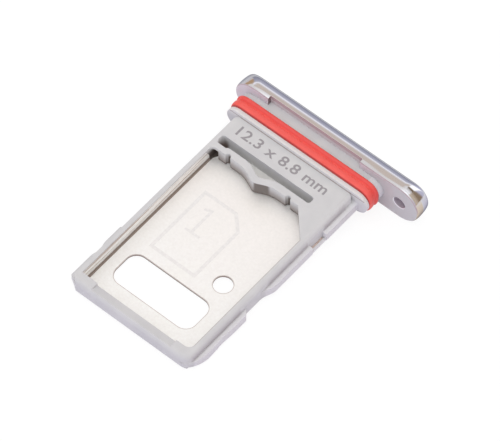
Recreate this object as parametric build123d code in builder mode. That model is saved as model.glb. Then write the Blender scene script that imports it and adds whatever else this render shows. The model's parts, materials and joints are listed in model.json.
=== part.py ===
from build123d import *
import os

# Sim card tray: an aluminium end cap, a silicone seal ring, a moulded plastic carrier and a
# stamped steel floor plate. Millimetres, +X along the cap towards the eject hole, +Y out of the
# device through the cap, +Z up, with the origin at the middle of the underside.

# The card that the pocket takes and its play
card_length = 12.30
card_width = 8.80
card_end_play = 0.24
card_side_play = 0.08
key_along = 1.87
key_across = 1.76
pocket_depth = 1.13
pocket_corner = 0.45
corner_relief = 0.30

# Lengths along the tray, from the near end to the front of the cap
end_bar = 0.83
arm_thick = 0.53
slot_width = 0.56
block_length = 1.74
collar_thick = 0.31
seal_width = 0.97
neck_length = 0.43
cap_depth = 1.22

# Walls and rails beside the pocket
wall_left = 0.32
wall_right = 0.46
rail_left = 0.35
rail_right = 0.33
rail_height = 0.70
wall_edge = 0.36
block_corner = 0.40
wall_nose_left = 0.45
wall_nose_right = 0.70
nose_across = 0.92
nose_length = 0.95
nose_corner = 0.50
nose_left_along = 0.53
nose_left_across = 0.90
lead_in = 0.26
ramp_run = 1.50

# Rail stops, from the pocket's near wall
left_rail_end = 4.35
dip_at = 2.25
left_dip = 0.16
left_dip_half = 0.75
right_dip = 0.06
right_dip_half = 1.15
front_rail_end = 4.45
front_rail_slope = 0.40
middle_rail_start = 6.15
middle_rail_slope = 1.30
middle_rail_end = 10.95
back_rail_start = 12.30

# Nail scoop in the near bar
scoop_start = 1.28
scoop_length = 6.51
scoop_drop = 0.28
scoop_run = 0.68

# Spring arm between the pocket and its slot
slot_length = 7.57
slot_corner = 0.20
bulge = 0.47
bulge_half = 1.60
arm_lift = 0.05
arm_root = 0.40
heel_length = 0.80
heel_step = 0.12
cavity_across = 0.50
cavity_lip = 0.25
groove_radius = 0.19
groove_spread = 4.96
groove_inset = 0.03

# Floor plate
sheet = 0.15
floor_drop = 0.55
bend_radius = 0.14
flange_start = 0.05
flange_cover = 0.12
flange_end = 12.24
flange_slant = 0.40
flange_drop = 0.72
tuck_near = 0.32
tuck_far = 0.45
tuck_right = 0.26
tab_start = 11.08
tab_width = 1.14
tab_reach = 0.21
window_left = 0.97
window_near = 1.33
window_length = 6.53
window_width = 2.57
window_corner = 0.80
hole_across = 6.88
hole_along = 5.51
hole_diameter = 1.31

# Collar, seal and neck
pocket_offset = -1.187
collar_offset = 0.165
collar_length = 11.57
collar_height = 1.74
seal_depth = 0.27
seal_near_foot = 0.34
seal_far_foot = 0.46
seal_near_lip = 0.49
seal_valley = 0.41
seal_far_lip = 0.53
seal_near_at = 0.36
seal_valley_at = 0.58
seal_far_at = 0.80
seal_end_tuck = 0.20

# Cap
cap_length = 15.13
cap_height = 3.12
front_round_deep = 0.76
front_round_high = 0.45
cap_end_round = 0.31
cap_edge = 0.14
recess_length = 7.56
recess_depth = 0.30
tongue_reach = 0.68
eject_offset = 6.03
eject_diameter = 0.90
eject_rim = 0.05

# Stations along the tray
pocket_length = card_length + card_end_play
tray_length = (end_bar + pocket_length + arm_thick + slot_width + block_length
               + collar_thick + seal_width + neck_length + cap_depth)
y_end = -tray_length / 2
y_pocket = y_end + end_bar
y_arm = y_pocket + pocket_length
y_slot = y_arm + arm_thick
y_block = y_slot + slot_width
y_collar = y_block + block_length
y_seal = y_collar + collar_thick
y_neck = y_seal + seal_width
y_cap = y_neck + neck_length

# Stations across the tray
pocket_width = card_width + card_side_play
x_left = pocket_offset - pocket_width / 2
x_right = x_left + pocket_width
x_wall_left = x_left - wall_left
x_wall_right = x_right + wall_right
x_rail_left = x_wall_left - rail_left
x_rail_right = x_wall_right + rail_right
x_slot_right = x_left + slot_length
x_arm = (x_left + x_slot_right) / 2
x_key = x_right - key_across
x_collar = pocket_offset + collar_offset

# Levels
z_mid = cap_height / 2
z_floor = z_mid - floor_drop
z_under = z_floor - sheet
z_top = z_floor + pocket_depth
body_height = z_top - z_under

# Planes square to the tray's length, looking out through the cap
collar_plane = Plane(origin=(x_collar, y_collar, z_mid), x_dir=(1, 0, 0), z_dir=(0, 1, 0))
seal_plane = Plane(origin=(x_collar, y_seal, z_mid), x_dir=(1, 0, 0), z_dir=(0, 1, 0))
neck_plane = Plane(origin=(x_collar, y_neck, z_mid), x_dir=(1, 0, 0), z_dir=(0, 1, 0))
tongue_plane = Plane(origin=(x_collar, y_cap, z_mid), x_dir=(1, 0, 0), z_dir=(0, 1, 0))
cap_plane = Plane(origin=(0, y_cap, z_mid), x_dir=(1, 0, 0), z_dir=(0, 1, 0))
core_length = collar_length - 2 * seal_depth
core_height = collar_height - 2 * seal_depth
core_half = core_length / 2 - core_height / 2

# Stamped steel floor plate, with its left edge bent up as the pocket's wall
with BuildPart() as plate:
    with BuildSketch(Plane.XY.offset(z_under)):
        with BuildLine():
            Polyline(
                (x_left + bend_radius, y_pocket - tuck_near),
                (x_right + tuck_right, y_pocket - tuck_near),
                (x_right + tuck_right, y_pocket + tab_start),
                (x_wall_right + tab_reach, y_pocket + tab_start),
                (x_wall_right + tab_reach, y_pocket + tab_start + tab_width),
                (x_right + tuck_right, y_pocket + tab_start + tab_width),
                (x_right + tuck_right, y_block + tuck_far),
                (x_left + cavity_across, y_block + tuck_far),
                (x_left + cavity_across, y_slot),
                (x_left + bend_radius, y_arm - bend_radius),
                close=True,
            )
        make_face()
    extrude(amount=sheet)
    # bent-up flange
    with BuildSketch(Plane.XZ.offset(-(y_pocket + flange_start))):
        with BuildLine():
            bend_x = x_left + bend_radius
            bend_z = z_floor + bend_radius
            slant = 0.5 ** 0.5
            outer = bend_radius + sheet
            ThreePointArc(
                (bend_x, z_floor),
                (bend_x - bend_radius * slant, bend_z - bend_radius * slant),
                (x_left, bend_z),
            )
            Polyline(
                (x_left, bend_z),
                (x_left, z_top - flange_cover),
                (x_left - sheet, z_top - flange_cover),
                (x_left - sheet, bend_z),
            )
            ThreePointArc(
                (x_left - sheet, bend_z),
                (bend_x - outer * slant, bend_z - outer * slant),
                (bend_x, z_under),
            )
            Line((bend_x, z_under), (bend_x, z_floor))
        make_face()
    extrude(amount=-(flange_end - flange_start))
    # slanted far end of the flange
    y_flange = y_pocket + flange_end
    with BuildSketch(Plane.YZ.offset(x_left - sheet)):
        Polygon((y_flange - flange_slant, z_top), (y_flange, z_top), (y_flange, z_top - flange_drop), align=None)
    extrude(amount=sheet, mode=Mode.SUBTRACT)
    # window and round hole
    with BuildSketch(Plane.XY.offset(z_under)):
        with Locations((x_left + window_left + window_length / 2, y_pocket + window_near + window_width / 2)):
            RectangleRounded(window_length, window_width, window_corner)
        with Locations((x_left + hole_across, y_pocket + hole_along)):
            Circle(hole_diameter / 2)
    extrude(amount=sheet, mode=Mode.SUBTRACT)
plate.part.label = "plate"

# Plastic carrier: frame, rails, spring arm, block, collar, seal core and neck in one moulding
with BuildPart() as carrier:
    # upper walls and block
    with BuildSketch(Plane.XY.offset(z_under)) as walls:
        Polygon(
            (x_wall_left, y_end + wall_nose_left),
            (x_wall_left + wall_nose_left, y_end),
            (x_wall_right, y_end),
            (x_wall_right, y_collar),
            (x_wall_left, y_collar),
            align=None,
        )
        fillet(walls.vertices().group_by(Axis.Y)[0].sort_by(Axis.X)[-1], wall_nose_right)
    extrude(amount=body_height)
    rim = carrier.faces().sort_by(Axis.Z)[-1].edges().sort_by(Axis.X)
    fillet([rim.sort_by(Axis.Y)[0], rim[-2], rim[-1]], wall_edge)
    # block's corners, rounded away from the collar
    with BuildSketch(Plane.XY.offset(z_under)):
        with Locations((x_wall_left, y_collar), (x_wall_right, y_collar)):
            Rectangle(2 * block_corner, 2 * block_corner)
        with Locations((x_wall_left + block_corner, y_collar - block_corner),
                       (x_wall_right - block_corner, y_collar - block_corner)):
            Circle(block_corner, mode=Mode.SUBTRACT)
    extrude(amount=body_height, mode=Mode.SUBTRACT)
    # rails along the lower half, tapered in at the nose
    with BuildSketch(Plane.XY.offset(z_under)) as rails:
        with BuildLine():
            Line((x_rail_left + nose_left_across, y_end), (x_rail_right - nose_across, y_end))
            EllipticalCenterArc(
                (x_rail_right - nose_across, y_pocket + nose_length),
                nose_across,
                end_bar + nose_length,
                start_angle=270,
                arc_size=90,
            )
            Line((x_rail_right, y_pocket + nose_length), (x_rail_right, y_pocket + dip_at - right_dip_half))
            Spline(
                (x_rail_right, y_pocket + dip_at - right_dip_half),
                (x_rail_right - right_dip, y_pocket + dip_at),
                (x_rail_right, y_pocket + dip_at + right_dip_half),
                tangents=((0, 1), (0, 1)),
            )
            Polyline(
                (x_rail_right, y_pocket + dip_at + right_dip_half),
                (x_rail_right, y_pocket + front_rail_end),
                (x_wall_right, y_pocket + front_rail_end + front_rail_slope),
                (x_wall_right, y_pocket + middle_rail_start),
            )
            Spline(
                (x_wall_right, y_pocket + middle_rail_start),
                (x_rail_right, y_pocket + middle_rail_start + middle_rail_slope),
                tangents=((0, 1), (0, 1)),
            )
            Polyline(
                (x_rail_right, y_pocket + middle_rail_start + middle_rail_slope),
                (x_rail_right, y_pocket + middle_rail_end),
                (x_wall_right, y_pocket + middle_rail_end),
                (x_wall_right, y_pocket + back_rail_start),
                (x_rail_right, y_pocket + back_rail_start),
                (x_rail_right, y_collar),
                (x_wall_left, y_collar),
                (x_wall_left, y_pocket + left_rail_end + rail_left),
                (x_rail_left, y_pocket + left_rail_end),
                (x_rail_left, y_pocket + dip_at + left_dip_half),
            )
            Spline(
                (x_rail_left, y_pocket + dip_at + left_dip_half),
                (x_rail_left + left_dip, y_pocket + dip_at),
                (x_rail_left, y_pocket + dip_at - left_dip_half),
                tangents=((0, -1), (0, -1)),
            )
            Polyline(
                (x_rail_left, y_pocket + dip_at - left_dip_half),
                (x_rail_left, y_end + nose_left_along),
                (x_rail_left + nose_left_across, y_end),
            )
        make_face()
        fillet(rails.vertices().group_by(Axis.Y)[0].sort_by(Axis.X)[0], nose_corner)
    extrude(amount=rail_height)
    # lead-in bevel under the near end, and longer ramps under the rails beside the plate
    lead_ins = (
        (x_rail_left, x_rail_right, lead_in),
        (x_rail_left, x_left - sheet, ramp_run),
        (x_right + tuck_right, x_rail_right, ramp_run),
    )
    for x_from, x_to, run in lead_ins:
        with BuildSketch(Plane.YZ.offset(x_from)):
            Polygon((y_end, z_under), (y_end + run, z_under), (y_end, z_under + lead_in), align=None)
        extrude(amount=x_to - x_from, mode=Mode.SUBTRACT)
    # nail scoop falling into the pocket
    with BuildSketch(Plane.YZ.offset(x_left + scoop_start)):
        Polygon(
            (y_pocket - scoop_run, z_top),
            (y_pocket + scoop_run, z_top - 2 * scoop_drop),
            (y_pocket + scoop_run, z_top + scoop_drop),
            (y_pocket - scoop_run, z_top + scoop_drop),
            align=None,
        )
    extrude(amount=scoop_length, mode=Mode.SUBTRACT)
    # card pocket, its keyed corner and the front of the spring arm
    with BuildSketch(Plane.XY.offset(z_under)) as pocket:
        with BuildLine():
            Polyline(
                (x_arm - bulge_half, y_arm),
                (x_left, y_arm),
                (x_left, y_pocket),
                (x_right, y_pocket),
                (x_right, y_arm - key_along),
                (x_key, y_arm),
                (x_arm + bulge_half, y_arm),
            )
            Spline(
                (x_arm + bulge_half, y_arm),
                (x_arm, y_arm - bulge),
                (x_arm - bulge_half, y_arm),
                tangents=((-1, 0), (-1, 0)),
            )
        make_face()
        near = pocket.vertices().group_by(Axis.Y)[0]
        fillet(near.sort_by(Axis.X)[-1], pocket_corner)
        far = pocket.vertices().group_by(Axis.Y)[-1]
        fillet(far.sort_by(Axis.X)[0], corner_relief)
    extrude(amount=body_height, mode=Mode.SUBTRACT)
    # slot behind the arm
    with BuildSketch(Plane.XY.offset(z_under)) as slot:
        with BuildLine():
            Polyline(
                (x_arm - bulge_half, y_slot),
                (x_left + heel_length + heel_step, y_slot),
                (x_left + heel_length, y_slot - heel_step),
                (x_left, y_slot - heel_step),
                (x_left, y_block),
                (x_slot_right, y_block),
                (x_slot_right, y_slot),
                (x_arm + bulge_half, y_slot),
            )
            Spline(
                (x_arm + bulge_half, y_slot),
                (x_arm, y_slot - bulge),
                (x_arm - bulge_half, y_slot),
                tangents=((-1, 0), (-1, 0)),
            )
        make_face()
        ends = slot.vertices().group_by(Axis.X)
        fillet(ends[0] + ends[-1], slot_corner)
    extrude(amount=body_height, mode=Mode.SUBTRACT)
    # cavity under the arm's left root, between the pocket's corner and the slot
    with BuildSketch(Plane.XY.offset(z_under)):
        with Locations((x_left, y_flange)):
            Rectangle(cavity_across, y_slot - y_flange, align=(Align.MIN, Align.MIN))
    extrude(amount=body_height - cavity_lip, mode=Mode.SUBTRACT)
    # flex grooves at the roots of the arm
    with BuildSketch(Plane.XY.offset(z_under)):
        with Locations((x_arm - groove_spread / 2, y_arm + groove_inset),
                       (x_arm + groove_spread / 2, y_arm + groove_inset)):
            Circle(groove_radius)
    extrude(amount=body_height, mode=Mode.SUBTRACT)
    # the arm hangs clear of the plate between its roots
    with BuildSketch(Plane.XY.offset(z_floor)):
        with Locations((x_left + arm_root, y_arm)):
            Rectangle(x_key - arm_root - x_left - arm_root, 2 * arm_thick, align=(Align.MIN, Align.CENTER))
    extrude(amount=arm_lift, mode=Mode.SUBTRACT)
    # web that closes the cavity below, beside the plate's cut corner
    with BuildSketch(Plane.XY.offset(z_under)):
        with Locations((x_left, y_flange)):
            Rectangle(cavity_across, y_block - y_flange, align=(Align.MIN, Align.MIN))
    extrude(amount=sheet)
    # collar, seal core, neck and the tongue inside the cap
    with BuildSketch(collar_plane):
        SlotOverall(collar_length, collar_height)
    extrude(amount=collar_thick)
    with BuildSketch(seal_plane):
        SlotOverall(core_length, core_height)
    extrude(amount=seal_width)
    with BuildSketch(neck_plane):
        SlotOverall(collar_length, collar_height)
    extrude(amount=neck_length)
    with BuildSketch(tongue_plane):
        Rectangle(recess_length, collar_height)
    extrude(amount=tongue_reach)
    add(plate.part, mode=Mode.SUBTRACT)
carrier.part.label = "carrier"

# Silicone ring with two lips, stretched over the seal core and thinner round its ends
with BuildPart() as seal:
    ring_half = core_half - seal_end_tuck
    for x_turn, turn in ((x_collar + ring_half, 180), (x_collar - ring_half, -180)):
        with BuildSketch(Plane.YZ.offset(x_turn)) as lips:
            with BuildLine():
                z_core = z_mid + core_height / 2
                Polyline((y_neck, z_core + seal_far_foot), (y_neck, z_mid), (y_seal, z_mid),
                         (y_seal, z_core + seal_near_foot))
                ThreePointArc(
                    (y_seal, z_core + seal_near_foot),
                    (y_seal + seal_near_at, z_core + seal_near_lip),
                    (y_seal + seal_valley_at, z_core + seal_valley),
                )
                ThreePointArc(
                    (y_seal + seal_valley_at, z_core + seal_valley),
                    (y_seal + seal_far_at, z_core + seal_far_lip),
                    (y_neck, z_core + seal_far_foot),
                )
            make_face()
        revolve(axis=Axis((x_turn, 0, z_mid), (0, 1, 0)), revolution_arc=turn)
        if turn > 0:
            extrude(lips.sketch, amount=-2 * ring_half)
    mirror(about=Plane.XY.offset(z_mid))
    with BuildSketch(seal_plane):
        SlotOverall(core_length, core_height)
    extrude(amount=seal_width, mode=Mode.SUBTRACT)
seal.part.label = "seal"

# Anodised aluminium end cap
with BuildPart() as cap:
    with BuildSketch(cap_plane):
        SlotOverall(cap_length, cap_height)
    extrude(amount=cap_depth)
    fillet(cap.faces().sort_by(Axis.Y)[-1].edges(), cap_end_round)
    fillet(cap.faces().sort_by(Axis.Y)[0].edges(), cap_edge)
    # long edges of the front rounded more than the ends
    with BuildSketch(Plane.YZ.offset(-cap_length / 2)):
        with BuildLine():
            y_round = y_cap + cap_depth - front_round_deep
            EllipticalCenterArc((y_round, cap_height - front_round_high), front_round_deep,
                                front_round_high, start_angle=0, arc_size=90)
            Polyline((y_round, cap_height), (y_cap, cap_height), (y_cap, 0), (y_round, 0))
            EllipticalCenterArc((y_round, front_round_high), front_round_deep,
                                front_round_high, start_angle=270, arc_size=90)
            Line((y_cap + cap_depth, front_round_high), (y_cap + cap_depth, cap_height - front_round_high))
        make_face()
    extrude(amount=cap_length, mode=Mode.INTERSECT)
    # recess in the middle of the inner side, and the socket of the tongue
    with BuildSketch(tongue_plane):
        Rectangle(recess_length, cap_height)
    extrude(amount=recess_depth, mode=Mode.SUBTRACT)
    with BuildSketch(tongue_plane):
        Rectangle(recess_length, collar_height)
    extrude(amount=tongue_reach, mode=Mode.SUBTRACT)
    # eject hole with an eased rim on both sides
    with BuildSketch(cap_plane):
        with Locations((eject_offset, 0)):
            Circle(eject_diameter / 2)
    extrude(amount=cap_depth, mode=Mode.SUBTRACT)
    rims = cap.edges().filter_by(GeomType.CIRCLE).filter_by(
        lambda e: abs(e.radius - eject_diameter / 2) < 0.001)
    chamfer(rims, eject_rim)
cap.part.label = "cap"

os.makedirs("parts", exist_ok=True)
export_step(cap.part, "parts/cap.step")
export_step(seal.part, "parts/seal.step")
export_step(carrier.part, "parts/carrier.step")
export_step(plate.part, "parts/plate.step")
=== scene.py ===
import json
import math

import bmesh
import bpy
import numpy as np
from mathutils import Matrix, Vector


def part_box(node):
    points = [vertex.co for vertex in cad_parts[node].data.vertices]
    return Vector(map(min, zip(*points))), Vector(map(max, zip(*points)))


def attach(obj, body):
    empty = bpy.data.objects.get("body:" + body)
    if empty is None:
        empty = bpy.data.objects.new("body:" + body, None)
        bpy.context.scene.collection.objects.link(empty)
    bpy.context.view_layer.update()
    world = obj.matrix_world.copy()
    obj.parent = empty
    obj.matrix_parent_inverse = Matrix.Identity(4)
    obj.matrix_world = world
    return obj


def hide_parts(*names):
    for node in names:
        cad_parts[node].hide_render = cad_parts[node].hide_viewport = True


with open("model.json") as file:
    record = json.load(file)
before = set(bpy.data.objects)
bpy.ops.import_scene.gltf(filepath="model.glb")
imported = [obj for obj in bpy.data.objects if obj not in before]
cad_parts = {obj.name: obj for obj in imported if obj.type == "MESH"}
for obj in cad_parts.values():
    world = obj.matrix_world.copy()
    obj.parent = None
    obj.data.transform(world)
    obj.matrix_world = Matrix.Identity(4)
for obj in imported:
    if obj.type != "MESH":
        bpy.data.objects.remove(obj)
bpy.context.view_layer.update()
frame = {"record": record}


# Carrier: the tray's frame, one injection moulding in light grey plastic with a fine matt grain.
# It holds the pocket's walls, the side rails, the spring arm, the block, the collar and the neck.
# The mould leaves every edge slightly round, so a joined copy of the solid gets small radii.
scene = bpy.context.scene
mm = 0.001
weld_gap = 0.0002 * mm
flat_angle = math.radians(1)


def joined_copy(node, edge_radius, edge_angle):
    """Copy of a solid with its triangles joined into whole faces, and its sharp edges rounded."""
    mesh = bpy.data.objects[node].data.copy()
    solid = bmesh.new()
    solid.from_mesh(mesh)
    bmesh.ops.remove_doubles(solid, verts=solid.verts, dist=weld_gap)
    bmesh.ops.dissolve_limit(solid, angle_limit=flat_angle, verts=solid.verts, edges=solid.edges)
    solid.to_mesh(mesh)
    solid.free()
    piece = bpy.data.objects.new(node + "_finished", mesh)
    scene.collection.objects.link(piece)
    finish_edges(piece, edge_radius, edge_angle)
    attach(piece, "root")
    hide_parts(node)
    return piece


def finish_edges(piece, edge_radius, edge_angle):
    """Rounds the edges that turn by more than edge_angle, and shades broad faces flat."""
    mesh = piece.data
    mesh.polygons.foreach_set("use_smooth", np.ones(len(mesh.polygons), bool))
    if edge_radius:
        radius = piece.modifiers.new("edge_radius", "BEVEL")
        radius.width = edge_radius
        radius.segments = 2
        radius.limit_method = "ANGLE"
        radius.angle_limit = math.radians(edge_angle)
        radius.use_clamp_overlap = False
    else:
        mesh.set_sharp_from_angle(angle=math.radians(edge_angle))
    shading = piece.modifiers.new("flat_faces", "WEIGHTED_NORMAL")
    shading.weight = 80
    shading.keep_sharp = True


def linear(red, green, blue):
    """Shader colour of a screen colour given as 0 to 255."""
    screen = np.array([red, green, blue]) / 255
    light = np.where(screen <= 0.04045, screen / 12.92, ((screen + 0.055) / 1.055) ** 2.4)
    return (*light.tolist(), 1.0)


def new_finish(name):
    """New material with its node tree, its surface shader and the piece's own coordinates."""
    material = bpy.data.materials.new(name)
    material.use_nodes = True
    tree = material.node_tree
    place = tree.nodes.new("ShaderNodeTexCoord")
    return material, tree, tree.nodes["Principled BSDF"], place.outputs["Object"]


def grain(tree, place, scale, detail, stretch=(1, 1, 1)):
    """Noise of the given scale per metre, stretched along the axes."""
    mapping = tree.nodes.new("ShaderNodeMapping")
    mapping.inputs["Scale"].default_value = stretch
    tree.links.new(place, mapping.inputs["Vector"])
    noise = tree.nodes.new("ShaderNodeTexNoise")
    noise.inputs["Scale"].default_value = scale
    noise.inputs["Detail"].default_value = detail
    tree.links.new(mapping.outputs["Vector"], noise.inputs["Vector"])
    return noise.outputs["Fac"]


def blend_colours(tree, share, stops):
    """Colour ramp over a share from 0 to 1, with (place, colour) stops."""
    ramp = tree.nodes.new("ShaderNodeValToRGB")
    ramp.color_ramp.elements.remove(ramp.color_ramp.elements[1])
    for number, (at, colour) in enumerate(stops):
        stop = ramp.color_ramp.elements.new(at) if number else ramp.color_ramp.elements[0]
        stop.position = at
        stop.color = colour
    tree.links.new(share, ramp.inputs["Fac"])
    return ramp.outputs["Color"]


def spread(tree, share, low, high):
    """Takes a noise share of about 0.3 to 0.7 to a range of values."""
    ranged = tree.nodes.new("ShaderNodeMapRange")
    ranged.inputs["From Min"].default_value = 0.3
    ranged.inputs["From Max"].default_value = 0.7
    ranged.inputs["To Min"].default_value = low
    ranged.inputs["To Max"].default_value = high
    tree.links.new(share, ranged.inputs["Value"])
    return ranged.outputs["Result"]


def band(tree, value, start, full):
    """Share that goes smoothly from 0 to 1 as a value goes from start to full."""
    ranged = tree.nodes.new("ShaderNodeMapRange")
    ranged.interpolation_type = "SMOOTHSTEP"
    ranged.inputs["From Min"].default_value = start
    ranged.inputs["From Max"].default_value = full
    tree.links.new(value, ranged.inputs["Value"])
    return ranged.outputs["Result"]


def times(tree, first, second):
    """Product of two shares."""
    product = tree.nodes.new("ShaderNodeMath")
    product.operation = "MULTIPLY"
    tree.links.new(first, product.inputs[0])
    tree.links.new(second, product.inputs[1])
    return product.outputs[0]


def zone(tree, vector, limits):
    """Share of 1 inside limits given as (axis, start, full), and 0 outside."""
    parts = tree.nodes.new("ShaderNodeSeparateXYZ")
    tree.links.new(vector, parts.inputs["Vector"])
    share = None
    for axis, start, full in limits:
        edge = band(tree, parts.outputs[axis], start, full)
        share = times(tree, share, edge) if share else edge
    return share


def zone_mm(tree, place, limits):
    """Zone on a piece, with its limits in millimetres."""
    return zone(tree, place, [(axis, start * mm, full * mm) for axis, start, full in limits])


def tint(tree, share, colour, other):
    """Colour that goes over to another one by a share."""
    mix = tree.nodes.new("ShaderNodeMix")
    mix.data_type = "RGBA"
    mix.inputs[7].default_value = other
    tree.links.new(share, mix.inputs[0])
    tree.links.new(colour, mix.inputs[6])
    return mix.outputs[2]


def raise_grain(tree, surface, height, depth, strength):
    """Bump of the given depth from a height share."""
    bump = tree.nodes.new("ShaderNodeBump")
    bump.inputs["Distance"].default_value = depth
    bump.inputs["Strength"].default_value = strength
    tree.links.new(height, bump.inputs["Height"])
    tree.links.new(bump.outputs["Normal"], surface.inputs["Normal"])


# a zone is a set of limits in millimetres: an axis, where the zone starts along it, where it is full
# painted shade on the arm's front, darker towards its foot and on the bulge's right flank, and darkest in
# the grooves' shaded sides, the pocket's far-left corner and the slot's end
pocket_left = (("X", -5.70, -5.66),)
arm = pocket_left + (("X", 2.2, 2.1), ("Y", 3.2, 3.3), ("Y", 4.15, 4.05))
arm_front_shade = arm + (("Z", 2.10, 1.2),)
arm_foot_shade = arm + (("Z", 1.28, 1.10),)
grooves = (("X", -5.0, -4.9), ("X", 1.3, 1.2), ("Y", 3.81, 3.87), ("Y", 4.15, 4.05), ("Z", 2.14, 1.7))
pocket_corner_shade = pocket_left + (("X", -5.10, -5.30), ("Y", 3.2, 3.5), ("Y", 4.45, 4.3), ("Z", 2.02, 1.4))
slot_end_shade = pocket_left + (("X", -5.00, -5.35), ("Y", 4.15, 4.2), ("Y", 4.95, 4.92), ("Z", 2.1, 1.1))
bulge_flank_shade = (
    ("X", -1.86, -1.70), ("X", -0.70, -0.95), ("Y", 3.2, 3.25), ("Y", 3.85, 3.8), ("Z", 2.13, 2.06),
)
# a painted highlight on the right rails' outer tops, and painted shade in the valley over them and along the
# pocket's right edge
rail_runs = ((-9.2, -4.3), (-1.9, 2.2), (3.57, 5.9))
rail_top_highlight = (("X", 3.76, 3.84),)
rail_valley_shade = (("X", 3.30, 3.66), ("X", 3.80, 3.73), ("Z", 1.45, 1.52), ("Z", 2.13, 1.75))
pocket_edge_shade = (("X", 3.235, 3.25), ("X", 3.33, 3.27), ("Y", -8.5, -8.2), ("Y", 1.95, 1.85), ("Z", 1.9, 2.0))
# painted light on the collar, and a painted shadow line along its foot
collar = (("Y", 6.60, 6.63), ("Y", 6.98, 6.94), ("Z", 1.5, 2.2))
collar_foot_shade = (("Y", 6.57, 6.62), ("Y", 6.68, 6.65), ("Z", 2.11, 2.12), ("Z", 2.20, 2.16))

grey_plastic, tree, surface, place = new_finish("grey_plastic")
cloud = grain(tree, place, 900, 3)
pits = grain(tree, place, 16000, 2)
colour = blend_colours(tree, cloud, ((0.3, linear(206, 206, 207)), (0.7, linear(213, 213, 213))))
facing = tree.nodes.new("ShaderNodeNewGeometry")
groove_shaded_side = zone(tree, facing.outputs["Normal"], (("X", 0.75, 0.35),))
# painted highlight on the rails' tops, and painted shade in the valleys beside them
colour = tint(tree, zone_mm(tree, place, rail_top_highlight), colour, linear(222, 221, 223))
for rail_near, rail_far in rail_runs:
    along_rail = (("Y", rail_near, rail_near + 0.3), ("Y", rail_far, rail_far - 0.2))
    colour = tint(tree, zone_mm(tree, place, rail_valley_shade + along_rail), colour, linear(190, 187, 189))
# painted light on the collar, then a painted shadow line at its foot
colour = tint(tree, zone_mm(tree, place, collar), colour, linear(224, 223, 222))
colour = tint(tree, zone_mm(tree, place, collar_foot_shade), colour, linear(172, 160, 154))
# painted shade along the pocket's right edge
colour = tint(tree, zone_mm(tree, place, pocket_edge_shade), colour, linear(186, 180, 178))
# painted shade on the arm, the bulge's flank, the grooves, the slot's end and the pocket's corner
colour = tint(tree, zone_mm(tree, place, arm_front_shade), colour, linear(158, 151, 147))
colour = tint(tree, zone_mm(tree, place, bulge_flank_shade), colour, linear(122, 114, 109))
colour = tint(tree, zone_mm(tree, place, arm_foot_shade), colour, linear(112, 101, 94))
colour = tint(tree, times(tree, zone_mm(tree, place, grooves), groove_shaded_side), colour, linear(80, 68, 61))
colour = tint(tree, zone_mm(tree, place, slot_end_shade), colour, linear(120, 106, 99))
colour = tint(tree, zone_mm(tree, place, pocket_corner_shade), colour, linear(78, 69, 63))
tree.links.new(colour, surface.inputs["Base Color"])
tree.links.new(spread(tree, pits, 0.42, 0.58), surface.inputs["Roughness"])
surface.inputs["Specular IOR Level"].default_value = 0.35
raise_grain(tree, surface, pits, 0.004 * mm, 0.25)

mould_radius = 0.015 * mm
carrier = joined_copy("carrier", mould_radius, 40)
carrier.data.materials.clear()
carrier.data.materials.append(grey_plastic)


# Ledge at the plate's tab: a low lip of the same plastic that joins the middle and back rails there.
# It wraps the tab's outer edge, and is a straight prism along the rails.
touch_gap = 0.00001 * mm


def outwards(mesh):
    """Joins a mesh's loose points and turns every face outwards."""
    solid = bmesh.new()
    solid.from_mesh(mesh)
    bmesh.ops.remove_doubles(solid, verts=solid.verts, dist=touch_gap)
    bmesh.ops.recalc_face_normals(solid, faces=solid.faces)
    solid.to_mesh(mesh)
    solid.free()


def prism(outline, low, high):
    """Straight prism over a closed outline: points (x, y, low), then (x, y, high), for each (x, y)."""
    count = len(outline)
    points = np.concatenate([np.column_stack([outline, np.full(count, height)]) for height in (low, high)])
    step = np.arange(count)
    after = (step + 1) % count
    walls = np.column_stack([step, after, after + count, step + count])
    return points, walls.tolist() + [step.tolist(), (step + count).tolist()]


def new_piece(name, points, faces):
    """Mesh object from points and faces, with every face turned outwards."""
    mesh = bpy.data.meshes.new(name)
    mesh.from_pydata(points.tolist(), [], faces)
    outwards(mesh)
    piece = bpy.data.objects.new(name, mesh)
    scene.collection.objects.link(piece)
    return piece


ledge_near = 2.215 * mm
ledge_far = 3.565 * mm
ledge_outline = np.array([
    (3.925, 0.86), (4.00, 0.86), (4.00, 1.04), (3.84, 1.04), (3.84, 1.012), (3.925, 1.012),
]) * mm
points, faces = prism(ledge_outline, ledge_near, ledge_far)
ledge = new_piece("tab_ledge", points[:, [0, 2, 1]], faces)
ledge.data.materials.append(grey_plastic)
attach(ledge, "root")


# Marking on the block: the size of the card that the pocket takes, in raised grey figures.
# It is a thin layer of ink with a little height, printed on the plastic.
marking_left = -5.10 * mm
marking_right = 2.22 * mm
marking_foot = 5.41 * mm
marking_height = 0.78 * mm
marking_low = 2.13 * mm
marking_high = 2.147 * mm

letters = bpy.data.curves.new("letters", "FONT")
letters.body = "12.3 x 8.8 mm"
letters.extrude = 0.5
letters.offset = 0.014
letters.space_character = 1.05
written = bpy.data.objects.new("letters", letters)
scene.collection.objects.link(written)
graph = bpy.context.evaluated_depsgraph_get()
marking_mesh = bpy.data.meshes.new_from_object(written.evaluated_get(graph))
bpy.data.objects.remove(written)
points = np.empty(len(marking_mesh.vertices) * 3)
marking_mesh.vertices.foreach_get("co", points)
points = points.reshape(-1, 3)
font_low = points.min(0)
font_high = points.max(0)
box_low = np.array([marking_left, marking_foot, marking_low])
box_high = np.array([marking_right, marking_foot + marking_height, marking_high])
points = box_low + (points - font_low) / (font_high - font_low) * (box_high - box_low)
marking_mesh.vertices.foreach_set("co", points.ravel())
outwards(marking_mesh)
marking = bpy.data.objects.new("card_size_marking", marking_mesh)
scene.collection.objects.link(marking)

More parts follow.
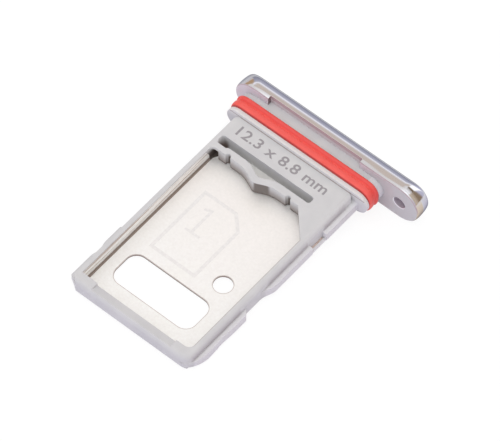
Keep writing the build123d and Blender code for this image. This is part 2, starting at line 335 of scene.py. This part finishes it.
grey_ink, tree, surface, place = new_finish("grey_ink")
specks = grain(tree, place, 9000, 2)
colour = blend_colours(tree, specks, ((0.3, linear(148, 144, 148)), (0.7, linear(160, 157, 159))))
tree.links.new(colour, surface.inputs["Base Color"])
surface.inputs["Roughness"].default_value = 0.6
marking_mesh.materials.clear()
marking_mesh.materials.append(grey_ink)
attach(marking, "root")


# Floor plate: stamped from thin stainless sheet, with a fine grain from the rolling mill.
# Its left edge is bent up as the pocket's bright wall, its sheared edges are darker, the inside of the bend
# has painted shade, and its rim is moulded into the carrier. Behind the arm, where no card rubs, it is matt.
bend = (("X", -5.475, -5.50), ("Z", 1.17, 1.11), ("Y", 3.6, 3.5))
sheared = (("Z", 1.012, 1.006),)
far_end = (("Y", -7.0, 3.0),)
tab = (("X", 3.70, 3.72),)
flange = (("X", -5.60, -5.62), ("Z", 1.32, 1.42))
under_arm = (("Y", 3.75, 3.95),)

satin_steel, tree, surface, place = new_finish("satin_steel")
cloud = grain(tree, place, 420, 3)
mottle = grain(tree, place, 6500, 3)
drawn = grain(tree, place, 5200, 1, (1, 0.02, 1))
rolled = grain(tree, place, 9000, 2, (1, 0.15, 1))
colour = blend_colours(tree, cloud, (
    (0.3, linear(252, 253, 249)),
    (0.5, linear(253, 254, 252)),
    (0.7, linear(252, 253, 250)),
))
colour = tint(tree, zone_mm(tree, place, far_end), colour, linear(252, 250, 247))
colour = tint(tree, spread(tree, mottle, 0.0, 0.55), colour, linear(241, 240, 237))
facing = tree.nodes.new("ShaderNodeNewGeometry")
upright = zone(tree, facing.outputs["Normal"], (("Z", 0.75, 0.45), ("Z", -0.75, -0.45)))
shear_share = times(tree, upright, zone_mm(tree, place, sheared))
colour = tint(tree, shear_share, colour, linear(152, 138, 132))
streaks = times(tree, band(tree, drawn, 0.52, 0.64), zone_mm(tree, place, flange))
colour = tint(tree, streaks, colour, linear(196, 181, 171))
# painted shade inside the bend
colour = tint(tree, zone_mm(tree, place, bend), colour, linear(146, 134, 125))
colour = tint(tree, zone_mm(tree, place, tab), colour, linear(222, 203, 193))
tree.links.new(colour, surface.inputs["Base Color"])
tree.links.new(spread(tree, rolled, 0.42, 0.54), surface.inputs["Roughness"])
worn_share = tree.nodes.new("ShaderNodeMapRange")
worn_share.inputs["To Min"].default_value = 0.6
worn_share.inputs["To Max"].default_value = 0.0
tree.links.new(zone_mm(tree, place, under_arm), worn_share.inputs["Value"])
tree.links.new(worn_share.outputs["Result"], surface.inputs["Metallic"])
surface.inputs["Specular IOR Level"].default_value = 0.3
raise_grain(tree, surface, rolled, 0.002 * mm, 0.2)

plate = joined_copy("plate", 0, 30)
plate.data.materials.clear()
plate.data.materials.append(satin_steel)


# Rolled edges of the plate's window and round hole: the punch draws the sheet's top edge down, and
# the thin turned rim there is duller than the sheet. Each rim is a low closed ridge along its edge.
def ridge(outline, width, low, high):
    """Closed flat ridge along a closed outline, mitred at the corners.

    Its sides lie at outline + offset and outline - offset, with offset = width (n + m) / |n + m|^2,
    where n and m are the unit normals of the two lines that meet at a point of the outline.
    """
    outline = np.array(outline)
    ahead = np.roll(outline, -1, 0) - outline
    ahead /= np.linalg.norm(ahead, axis=1)[:, None]
    side = np.column_stack([-ahead[:, 1], ahead[:, 0]])
    mitre = side + np.roll(side, 1, 0)
    mitre *= (width / (mitre * mitre).sum(1))[:, None]
    ring = [outline + mitre, outline - mitre]
    rows = [np.column_stack([flat, np.full(len(flat), height)])
            for flat, height in ((ring[0], low), (ring[1], low), (ring[1], high), (ring[0], high))]
    points = np.stack(rows, 1).reshape(-1, 3)
    return points, ring_faces(len(outline), 4)


def ring_faces(around, along):
    """Faces of a closed tube of points, given round by round."""
    row = np.arange(around)[:, None]
    column = np.arange(along)[None]
    after = (row + 1) % around
    beside = (column + 1) % along
    faces = np.stack([row * along + column, after * along + column,
                      after * along + beside, row * along + beside], -1)
    return faces.reshape(-1, 4).tolist()


rim_steps = 64
window_low = np.array([-4.657, -7.405]) * mm
window_high = np.array([1.873, -4.835]) * mm
window_corner = 0.80 * mm
plate_hole_middle = np.array([1.253, -3.225]) * mm
plate_hole_radius = 0.655 * mm
rolled_width = 0.05 * mm
rolled_low = 1.004 * mm
rolled_high = 1.013 * mm

# rim of a box with round corners: each corner's centre, and a quarter turn about it
turn = np.linspace(0, 2 * np.pi, rim_steps, endpoint=False) + np.pi / rim_steps
heading = np.column_stack([np.cos(turn), np.sin(turn)])
window_centre = (window_low + window_high) / 2
corner_shift = (window_high - window_low) / 2 - window_corner
rims = (
    window_centre + np.sign(heading) * corner_shift + heading * (window_corner + rolled_width / 2),
    plate_hole_middle + heading * (plate_hole_radius + rolled_width / 2),
)
rolled_steel, tree, surface, place = new_finish("rolled_steel")
worn = grain(tree, place, 6000, 2)
colour = blend_colours(tree, worn, ((0.3, linear(206, 199, 193)), (0.7, linear(220, 213, 208))))
tree.links.new(colour, surface.inputs["Base Color"])
surface.inputs["Roughness"].default_value = 0.5
surface.inputs["Metallic"].default_value = 0.4
for name, rim_outline in zip(("window_rim", "hole_rim"), rims):
    rim_piece = new_piece(name, *ridge(rim_outline, rolled_width, rolled_low, rolled_high))
    rim_piece.data.materials.append(rolled_steel)
    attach(rim_piece, "root")


# Card symbol: a card's outline with a cut corner and the plain numeral 1, lightly coined into the
# plate. Each line is a low flat ridge of the same sheet, dulled by the punch.
symbol_low = 1.005 * mm
symbol_high = 1.014 * mm
symbol_line = 0.24 * mm
card_outline = np.array([(-4.11, -3.90), (-0.57, -3.90), (-0.57, 0.36), (-1.57, 1.36), (-4.11, 1.36)]) * mm
numeral_outline = np.array([(-2.95, -1.44), (-2.95, 0.36), (-3.34, 0.25), (-3.34, 0.43), (-2.90, 0.62),
                            (-2.74, 0.62), (-2.74, -1.44), (-2.15, -1.44), (-2.15, -1.62),
                            (-3.34, -1.62), (-3.34, -1.44)]) * mm
points, faces = ridge(card_outline, symbol_line, symbol_low, symbol_high)
numeral_points, numeral_faces = prism(numeral_outline, symbol_low, symbol_high)
faces += [[number + len(points) for number in face] for face in numeral_faces]
symbol = new_piece("card_symbol", np.concatenate([points, numeral_points]), faces)

dulled_steel, tree, surface, place = new_finish("dulled_steel")
punched = grain(tree, place, 5000, 3)
colour = blend_colours(tree, punched, ((0.35, linear(245, 244, 242)), (0.65, linear(237, 236, 234))))
tree.links.new(colour, surface.inputs["Base Color"])
surface.inputs["Roughness"].default_value = 0.55
surface.inputs["Metallic"].default_value = 0.5
symbol.data.materials.append(dulled_steel)
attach(symbol, "root")


# Seal ring: red silicone with two low lips, stretched over the moulding's core between the collar
# and the neck. Its section is carried round that core's stadium outline, with slightly blunt ends.
def stadium(half_run, steps):
    """Angle round a stadium and the shift of its centre.

    The angle goes from -90 to 90 degrees at a shift of +half_run, then on to 270 at -half_run.
    """
    turn = np.linspace(-np.pi / 2, np.pi / 2, steps)
    return np.concatenate([turn, turn + np.pi]), np.repeat([half_run, -half_run], steps)


def carried(centre, half_run, radius, section_y, section_inset, steps, closed, end_power=2.0):
    """Section of depths y and insets, carried round a stadium of the given end radius.

    A point lies at x = centre + shift + reach cos(angle), z = centre + reach sin(angle), with
    reach = (radius - inset) / (|cos|^p + |sin|^p)^(1/p). An end power p of 2 gives round ends, where
    an inset moves the outline inwards by the same amount all round, and a higher one blunt ends.
    """
    angle, shift = stadium(half_run, steps)
    rows = (len(angle), section_y.shape[-1])
    section_y = np.broadcast_to(section_y, rows)
    section_inset = np.broadcast_to(section_inset, rows)
    blunt = np.abs(np.cos(angle)) ** end_power + np.abs(np.sin(angle)) ** end_power
    reach = (radius - section_inset) / blunt[:, None] ** (1 / end_power)
    points = np.stack([
        centre[0] + shift[:, None] + reach * np.cos(angle)[:, None],
        section_y,
        centre[2] + reach * np.sin(angle)[:, None],
    ], -1)
    around, along = points.shape[:2]
    faces = ring_faces(around, along)
    if not closed:
        faces = [face for number, face in enumerate(faces) if (number + 1) % along]
        faces.append((np.arange(around) * along).tolist())
        faces.append((np.arange(around) * along + along - 1).tolist())
    return points.reshape(-1, 3), faces


seal_low, seal_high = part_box("seal")
seal_middle = (np.array(seal_low) + np.array(seal_high)) / 2
seal_width = seal_high.y - seal_low.y
seal_radius = (seal_high.z - seal_low.z) / 2
seal_half_run = (seal_high.x - seal_low.x) / 2 - seal_radius
lip_height = 0.53 * mm
near_lip_drop = 0.03 * mm
valley_depth = 0.13 * mm
valley_at = 0.58
valley_half = 0.09
lip_step_run = 0.03
arch_power = 6.0
foot_sink = 0.02 * mm
seal_end_power = 2.6
seal_section_steps = 61
seal_end_steps = 49

# height of the section over its foot: a squarish arch, with a shallow valley between the lips
across = (1 - np.cos(np.linspace(0, np.pi, seal_section_steps))) / 2
arch = (1 - np.abs(2 * across - 1) ** arch_power) ** (1 / arch_power)
lip_valley = valley_depth * np.exp(-((across - valley_at) / valley_half) ** 2)
lip_step = near_lip_drop / (1 + np.exp((across - valley_at) / lip_step_run))
rise = (lip_height - lip_valley - lip_step) * arch
section_y = np.concatenate([seal_low.y + across * seal_width, [seal_high.y, seal_low.y]])
section_inset = lip_height - np.concatenate([rise, [-foot_sink, -foot_sink]])
points, faces = carried(
    seal_middle, seal_half_run, seal_radius, section_y, section_inset, seal_end_steps, True, seal_end_power,
)
seal = new_piece("seal_ring", points, faces)
finish_edges(seal, 0, 60)

# the near lip has a slightly deeper band; painted shade makes the far lip deeper all over and both sides
# darkest
red_silicone, tree, surface, place = new_finish("red_silicone")
cloud = grain(tree, place, 1500, 3)
dust = grain(tree, place, 14000, 2, (0.3, 1, 1))
colour = blend_colours(tree, cloud, ((0.3, linear(240, 91, 83)), (0.7, linear(248, 102, 93))))
for ring_zone, red in (
    ((("Y", 7.10, 7.26), ("Y", 7.44, 7.30)), linear(241, 94, 86)),
    ((("Y", 7.50, 7.60),), linear(236, 86, 79)),
    ((("Y", 7.02, 6.96),), linear(190, 62, 57)),
    ((("Y", 7.84, 7.91),), linear(150, 50, 46)),
):
    colour = tint(tree, zone_mm(tree, place, ring_zone), colour, red)
tree.links.new(colour, surface.inputs["Base Color"])
tree.links.new(spread(tree, dust, 0.38, 0.52), surface.inputs["Roughness"])
surface.inputs["Specular IOR Level"].default_value = 0.4
surface.inputs["Subsurface Weight"].default_value = 0.1
surface.inputs["Subsurface Radius"].default_value = (1.0, 0.25, 0.2)
surface.inputs["Subsurface Scale"].default_value = 0.15 * mm
raise_grain(tree, surface, dust, 0.003 * mm, 0.15)
seal.data.materials.append(red_silicone)
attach(seal, "root")
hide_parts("seal")


# End cap: polished and anodised aluminium that closes the opening in the device's side.
# Its long front edges are rounded more than its ends, its inner side is matt with a recess for
# the neck's tongue, and the eject pin's hole goes right through near its right end.
cap_low, cap_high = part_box("cap")
cap_middle = (np.array(cap_low) + np.array(cap_high)) / 2
cap_radius = (cap_high.z - cap_low.z) / 2
cap_half_run = (cap_high.x - cap_low.x) / 2 - cap_radius
rear_radius = 0.10 * mm
crown_depth = 0.22 * mm
crown_drop = 0.03 * mm
side_round_deep = 0.76 * mm
side_round_high = 0.45 * mm
end_round_deep = 0.84 * mm
end_round_high = 0.16 * mm
side_power = 6
cap_end_steps = 49
rear_steps = 9
front_steps = 33

# section: eased rear edge, a slight crown, then a quarter ellipse that changes from the sides to the ends
angle = stadium(cap_half_run, cap_end_steps)[0]
sideways = np.abs(np.sin(angle))[:, None] ** side_power
round_deep = end_round_deep + (side_round_deep - end_round_deep) * sideways
round_high = end_round_high + (side_round_high - end_round_high) * sideways
crown_slope = math.atan(2 * crown_drop / crown_depth)
rear_turn = np.linspace(0, np.pi / 2 - crown_slope, rear_steps)
crown = np.linspace(0, 1, rear_steps)[1:]
front_turn = np.linspace(0, np.pi / 2, front_steps)[None]
rear_y = rear_radius * (1 - np.cos(rear_turn))
rear_inset = crown_drop + rear_radius * (math.cos(crown_slope) - np.sin(rear_turn))
rear_y = np.concatenate([rear_y, rear_y[-1] + crown_depth * crown])
rear_inset = np.concatenate([rear_inset, crown_drop * (1 - crown) ** 2])
section_y = np.concatenate([
    np.repeat(cap_low.y + rear_y[None], len(angle), 0),
    cap_high.y - round_deep + round_deep * np.sin(front_turn),
], 1)
section_inset = np.concatenate([
    np.repeat(rear_inset[None], len(angle), 0),
    round_high * (1 - np.cos(front_turn)),
], 1)
points, faces = carried(cap_middle, cap_half_run, cap_radius, section_y, section_inset, cap_end_steps, False)
cap = new_piece("end_cap", points, faces)


def block_between(low, high):
    """Points and faces of a block between two corners."""
    corners = np.array([(x, y, z) for z in (0, 1) for y in (0, 1) for x in (0, 1)])
    points = np.array(low) + corners * (np.array(high) - np.array(low))
    faces = [(0, 2, 3, 1), (4, 5, 7, 6), (0, 1, 5, 4), (2, 6, 7, 3), (0, 4, 6, 2), (1, 3, 7, 5)]
    return points, faces


def cut(piece, points, faces):
    """Takes a closed cutter's volume out of a piece."""
    cutter = new_piece("cutter", points, faces)
    taken = piece.modifiers.new("cut", "BOOLEAN")
    taken.operation = "DIFFERENCE"
    taken.solver = "EXACT"
    taken.object = cutter
    graph = bpy.context.evaluated_depsgraph_get()
    mesh = bpy.data.meshes.new_from_object(piece.evaluated_get(graph))
    piece.modifiers.clear()
    piece.data = mesh
    bpy.data.objects.remove(cutter)


tongue_middle = -1.022 * mm
recess_half = 3.78 * mm
recess_depth = 0.30 * mm
over = 0.2 * mm
cut(cap, *block_between(
    (tongue_middle - recess_half, cap_low.y - over, cap_low.z - over),
    (tongue_middle + recess_half, cap_low.y + recess_depth, cap_high.z + over),
))

# eject hole: a cutter turned about the hole's axis, flared by the rims at both ends
hole = frame["record"]["mounts"][0]
hole_middle = np.array(hole["pos_m"])
hole_radius = hole["dims"]["r_mm"] * mm
hole_half = hole["dims"]["length_mm"] * mm / 2
hole_steps = 33
flare = (cap_high.y - cap_low.y) / 2 - hole_half + over
station = hole_middle[1] + np.array([-hole_half - flare, -hole_half, hole_half, hole_half + flare])
flare_inset = np.array([-flare, 0.0, 0.0, -flare])
cut(cap, *carried(hole_middle, 0.0, hole_radius, station, flare_inset, hole_steps, False))
cap_edge_radius = 0.025 * mm
finish_edges(cap, cap_edge_radius, 40)


def either(tree, first, second):
    """Larger of two shares."""
    larger = tree.nodes.new("ShaderNodeMath")
    larger.operation = "MAXIMUM"
    tree.links.new(first, larger.inputs[0])
    tree.links.new(second, larger.inputs[1])
    return larger.outputs[0]


# shares by facing and place: the matt inner side, the eased rear edge with a painted reflection, the bore
# with painted shade, its rim with a painted highlight, and the recess with painted shade
anodised, tree, surface, place = new_finish("polished_anodised_aluminium")
cloud = grain(tree, place, 700, 2)
lapped = grain(tree, place, 12000, 2, (0.1, 1, 1))
facing = tree.nodes.new("ShaderNodeNewGeometry")
inner_side = zone(tree, facing.outputs["Normal"], (("Y", -0.85, -0.97),))
eased_edge = zone(tree, facing.outputs["Normal"], (("Y", -0.25, -0.5), ("Y", -0.99, -0.9), ("Z", 0.0, 0.2)))
across_bore = zone(tree, facing.outputs["Normal"], (("Y", -0.8, -0.5), ("Y", 0.8, 0.5)))
hole_x = hole_middle[0] / mm
hole_z = hole_middle[2] / mm
near_hole = zone_mm(tree, place, (
    ("X", hole_x - 0.6, hole_x - 0.55), ("X", hole_x + 0.6, hole_x + 0.55),
    ("Z", hole_z - 0.6, hole_z - 0.55), ("Z", hole_z + 0.6, hole_z + 0.55),
))
in_bore = times(tree, across_bore, near_hole)
rim_slope = zone(tree, facing.outputs["Normal"], (("Y", -0.30, -0.50), ("Y", -0.97, -0.88)))
rim_highlight = times(tree, rim_slope, near_hole)
recess = (("X", -4.82, -4.79), ("X", 2.78, 2.75), ("Y", 8.60, 8.63), ("Y", 8.67, 8.655))
recess_top_shade = recess + (("Z", 2.66, 2.9),)
step_facing = zone(tree, facing.outputs["Normal"], (("X", 0.8, 0.95),))
recess_step_shade = times(tree, step_facing, zone_mm(tree, place, (("X", -4.74, -4.79), ("Y", 8.67, 8.655))))
colour = blend_colours(tree, cloud, ((0.3, linear(206, 206, 210)), (0.7, linear(210, 210, 214))))
# painted reflections on the right end: a little warm towards the inner side and a little cool towards the
# front
right_end_reflection = (("X", 6.95, 7.25), ("Z", 2.6, 2.1))
colour = tint(tree, zone_mm(tree, place, right_end_reflection + (("Y", 9.0, 8.85),)), colour, linear(206, 192, 178))
colour = tint(tree, zone_mm(tree, place, right_end_reflection + (("Y", 8.9, 9.05),)), colour, linear(199, 197, 211))
# painted reflection: the eased rear edge is mauve
colour = tint(tree, eased_edge, colour, linear(190, 173, 178))
colour = tint(tree, inner_side, colour, linear(225, 221, 227))
hole_end = zone_mm(tree, place, (("X", 2.8, 4.5),))
colour = tint(tree, times(tree, inner_side, hole_end), colour, linear(209, 208, 209))
# painted shade in the recess, darker at its top and darkest on its left step
colour = tint(tree, zone_mm(tree, place, recess), colour, linear(216, 208, 210))
colour = tint(tree, zone_mm(tree, place, recess_top_shade), colour, linear(196, 176, 179))
colour = tint(tree, recess_step_shade, colour, linear(156, 136, 138))
# painted shade in the bore, and a painted highlight on its rim
colour = tint(tree, in_bore, colour, linear(182, 172, 180))
colour = tint(tree, rim_highlight, colour, linear(244, 242, 246))
tree.links.new(colour, surface.inputs["Base Color"])
polish = spread(tree, lapped, 0.09, 0.13)
rear_side = either(tree, either(tree, inner_side, in_bore), eased_edge)
blasted = tree.nodes.new("ShaderNodeMix")
blasted.inputs[3].default_value = 0.6
tree.links.new(rear_side, blasted.inputs[0])
tree.links.new(polish, blasted.inputs[2])
tree.links.new(blasted.outputs[0], surface.inputs["Roughness"])
bare = tree.nodes.new("ShaderNodeMapRange")
bare.inputs["To Min"].default_value = 1.0
bare.inputs["To Max"].default_value = 0.15
tree.links.new(rear_side, bare.inputs["Value"])
tree.links.new(bare.outputs["Result"], surface.inputs["Metallic"])
surface.inputs["Specular Tint"].default_value = (0.35, 0.35, 0.4, 1.0)
cap.data.materials.clear()
cap.data.materials.append(anodised)
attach(cap, "root")
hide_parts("cap")


# Floor of the studio: a plain white sheet, tipped so that the cap's underside and the tray's near
# end both rest on it, as the tray lies on a table. The camera and polished metal see it as white.
rest_near_y = -9.305 * mm
rest_near_z = 0.86 * mm
rest_far_y = cap_low.y + rear_radius
slope = -rest_near_z / (rest_far_y - rest_near_y)
sheet_half = 0.6
sheet = np.array([(-1, -1), (1, -1), (1, 1), (-1, 1)]) * sheet_half
sheet_height = rest_near_z + (sheet[:, 1] - rest_near_y) * slope
floor_mesh = bpy.data.meshes.new("studio_floor")
floor_mesh.from_pydata(np.column_stack([sheet, sheet_height]).tolist(), [], [(0, 1, 2, 3)])
floor = bpy.data.objects.new("studio_floor", floor_mesh)
scene.collection.objects.link(floor)

white_sheet = bpy.data.materials.new("white_sheet")
white_sheet.use_nodes = True
tree = white_sheet.node_tree
tree.nodes.remove(tree.nodes["Principled BSDF"])
ray = tree.nodes.new("ShaderNodeLightPath")
seen = either(tree, ray.outputs["Is Camera Ray"], ray.outputs["Is Glossy Ray"])
seen = either(tree, seen, ray.outputs["Is Transmission Ray"])
paper = tree.nodes.new("ShaderNodeBsdfDiffuse")
paper.inputs["Color"].default_value = (0.80, 0.77, 0.88, 1)
shade = tree.nodes.new("ShaderNodeBsdfDiffuse")
shade.inputs["Color"].default_value = (0.15, 0.15, 0.15, 1)
glow = tree.nodes.new("ShaderNodeEmission")
glow.inputs["Strength"].default_value = 0.88
white = tree.nodes.new("ShaderNodeAddShader")
tree.links.new(shade.outputs[0], white.inputs[0])
tree.links.new(glow.outputs[0], white.inputs[1])
choice = tree.nodes.new("ShaderNodeMixShader")
tree.links.new(seen, choice.inputs["Fac"])
tree.links.new(paper.outputs[0], choice.inputs[1])
tree.links.new(white.outputs[0], choice.inputs[2])
tree.links.new(choice.outputs[0], tree.nodes["Material Output"].inputs["Surface"])
floor_mesh.materials.append(white_sheet)


# Studio light: a white tent, brighter overhead, with a dark, a bright and a warm strip across its
# far side, which the polished cap shows as its lines, and strips of its own for the cap's right end.
view_azimuth = math.radians(40.463)
view_elevation = math.radians(56.460)
view_roll = math.radians(-0.320)

tent = bpy.data.worlds.new("white_tent")
tent.use_nodes = True
scene.world = tent
tree = tent.node_tree
direction = tree.nodes.new("ShaderNodeTexCoord")
turned = tree.nodes.new("ShaderNodeMapping")
turned.inputs["Rotation"].default_value = (0, 0, -view_azimuth)
tree.links.new(direction.outputs["Generated"], turned.inputs["Vector"])
turned_parts = tree.nodes.new("ShaderNodeSeparateXYZ")
tree.links.new(turned.outputs["Vector"], turned_parts.inputs["Vector"])
over_top = tree.nodes.new("ShaderNodeMath")
over_top.operation = "ARCTAN2"
tree.links.new(turned_parts.outputs["Z"], over_top.inputs[0])
tree.links.new(turned_parts.outputs["Y"], over_top.inputs[1])
half_turn = tree.nodes.new("ShaderNodeMath")
half_turn.operation = "DIVIDE"
half_turn.inputs[1].default_value = math.pi
tree.links.new(over_top.outputs[0], half_turn.inputs[0])
plain = blend_colours(tree, turned_parts.outputs["Z"], (
    (0.00, (0.52, 0.49, 0.59, 1)),
    (0.45, (0.56, 0.54, 0.59, 1)),
    (0.80, (0.82, 0.83, 0.83, 1)),
    (0.92, (1.03, 1.06, 1.06, 1)),
    (1.00, (1.17, 1.20, 1.21, 1)),
))
middle_strips = blend_colours(tree, half_turn.outputs[0], (
    (0.000, (0.30, 0.30, 0.36, 1)),
    (0.100, (0.33, 0.33, 0.40, 1)),
    (0.205, (0.45, 0.45, 0.53, 1)),
    (0.222, (0.86, 0.85, 0.90, 1)),
    (0.246, (0.86, 0.85, 0.90, 1)),
    (0.262, (0.64, 0.61, 0.59, 1)),
    (0.290, (0.57, 0.49, 0.43, 1)),
    (0.330, (0.57, 0.49, 0.43, 1)),
    (0.360, (0.72, 0.70, 0.69, 1)),
    (0.420, (0.82, 0.80, 0.79, 1)),
))
left_strips = blend_colours(tree, half_turn.outputs[0], (
    (0.000, (0.60, 0.57, 0.58, 1)),
    (0.050, (0.62, 0.58, 0.58, 1)),
    (0.085, (0.46, 0.31, 0.19, 1)),
    (0.190, (0.42, 0.29, 0.18, 1)),
    (0.215, (0.57, 0.48, 0.42, 1)),
    (0.245, (0.70, 0.68, 0.66, 1)),
))
unturned = tree.nodes.new("ShaderNodeSeparateXYZ")
tree.links.new(direction.outputs["Generated"], unturned.inputs["Vector"])
right_strips = blend_colours(tree, unturned.outputs["Y"], (
    (0.000, (0.78, 0.77, 0.78, 1)),
    (0.430, (0.90, 0.89, 0.90, 1)),
    (0.470, (0.14, 0.10, 0.07, 1)),
    (0.580, (0.20, 0.14, 0.09, 1)),
    (0.630, (1.15, 1.15, 1.17, 1)),
    (0.850, (1.15, 1.15, 1.17, 1)),
    (0.910, (0.45, 0.45, 0.56, 1)),
))
side_strips = blend_colours(tree, unturned.outputs["Y"], (
    (0.000, (0.52, 0.43, 0.34, 1)),
    (0.430, (0.52, 0.43, 0.34, 1)),
    (0.470, (0.25, 0.18, 0.12, 1)),
    (0.590, (0.25, 0.18, 0.12, 1)),
    (0.680, (0.50, 0.49, 0.60, 1)),
))


def beside(tree, first, second, share):
    """Light that goes over from one part of the tent to another by a share."""
    mix = tree.nodes.new("ShaderNodeMix")
    mix.data_type = "RGBA"
    tree.links.new(share, mix.inputs[0])
    tree.links.new(first, mix.inputs[6])
    tree.links.new(second, mix.inputs[7])
    return mix.outputs[2]


far_half = band(tree, half_turn.outputs[0], 0.56, 0.42)
on_left = zone(tree, turned.outputs["Vector"], (("X", -0.17, -0.27),))
strip_run = zone(tree, turned.outputs["Vector"], (("X", -0.85, -0.65), ("X", 0.92, 0.85)))
far_strips = beside(tree, middle_strips, left_strips, on_left)
light = beside(tree, plain, far_strips, times(tree, far_half, strip_run))
on_side = zone(tree, direction.outputs["Generated"], (("X", 0.40, 0.55),))
on_right = zone(tree, direction.outputs["Generated"], (("X", -0.05, 0.08), ("Y", 0.02, 0.12)))
light = beside(tree, light, beside(tree, right_strips, side_strips, on_side), on_right)
background = tree.nodes["Background"]
background.inputs["Strength"].default_value = 1.44
tree.links.new(light, background.inputs["Color"])


# Camera: a long lens that looks down on the tray from its near right side.
picture_aim = np.array([-0.2123, 1.1227, 1.8458]) * mm
camera_distance = 305.96 * mm
camera_data = bpy.data.cameras.new("camera")
camera_data.lens = 349.23
camera_data.sensor_width = 36.0
camera_data.clip_start = 0.01
camera_data.clip_end = 10.0
camera = bpy.data.objects.new("camera", camera_data)
scene.collection.objects.link(camera)
back = np.array([
    math.cos(view_elevation) * math.sin(view_azimuth),
    -math.cos(view_elevation) * math.cos(view_azimuth),
    math.sin(view_elevation),
])
camera.location = picture_aim + back * camera_distance
camera.rotation_euler = (math.pi / 2 - view_elevation, 0, view_azimuth)
camera.rotation_euler.rotate_axis("Z", view_roll)
scene.camera = camera
scene.view_settings.view_transform = "Standard"
